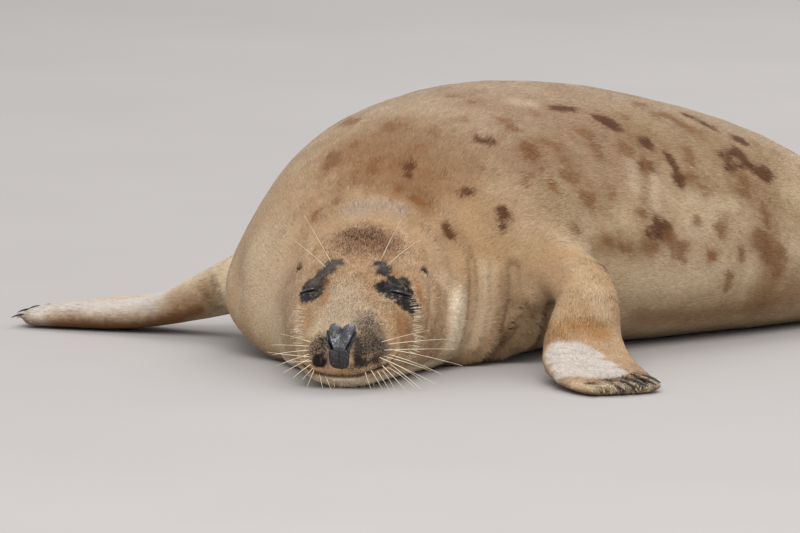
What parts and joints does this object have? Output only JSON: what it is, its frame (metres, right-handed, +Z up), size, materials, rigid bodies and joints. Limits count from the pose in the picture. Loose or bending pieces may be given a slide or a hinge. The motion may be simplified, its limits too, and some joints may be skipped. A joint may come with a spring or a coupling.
{
  "type": "young grey seal, resting on its belly",
  "caption": "Life-size still model of a young grey seal lying on its belly, chin on the ground, eyes closed, foreflippers spread.",
  "frame": {"origin": "on the ground, under the middle of the bounding box", "axes": "+Z up; the nose points towards -Y, the tail towards +Y; the animal's left is +X"},
  "size_m": [0.9506, 1.2816, 0.3088],
  "materials": {
    "coat": "short dense seal fur, golden buff with brown spots, darker grey-brown on the back",
    "nose_skin": "bare dark grey nose skin, finely pebbled, moist below",
    "lid_skin": "short dark fur and bare skin on closed lids",
    "claw_horn": "dark brown-black horn, smooth and slightly glossy"
  },
  "bodies": {
    "root": {"belly": "coat", "chest": "coat", "eyelids_left": "lid_skin", "eyelids_right": "lid_skin", "foreflipper_left": "coat", "foreflipper_left_claw_1": "claw_horn", "foreflipper_left_claw_2": "claw_horn", "foreflipper_left_claw_3": "claw_horn", "foreflipper_left_claw_4": "claw_horn", "foreflipper_left_claw_5": "claw_horn", "foreflipper_right": "coat", "foreflipper_right_claw_1": "claw_horn", "foreflipper_right_claw_2": "claw_horn", "foreflipper_right_claw_3": "claw_horn", "foreflipper_right_claw_4": "claw_horn", "foreflipper_right_claw_5": "claw_horn", "head": "coat", "hindflipper_left": "coat", "hindflipper_left_claw_1": "claw_horn", "hindflipper_left_claw_2": "claw_horn", "hindflipper_left_claw_3": "claw_horn", "hindflipper_left_claw_4": "claw_horn", "hindflipper_left_claw_5": "claw_horn", "hindflipper_right": "coat", "hindflipper_right_claw_1": "claw_horn", "hindflipper_right_claw_2": "claw_horn", "hindflipper_right_claw_3": "claw_horn", "hindflipper_right_claw_4": "claw_horn", "hindflipper_right_claw_5": "claw_horn", "hindquarters": "coat", "neck": "coat", "nose": "nose_skin", "tail": "coat"}
  },
  "joints": []
}
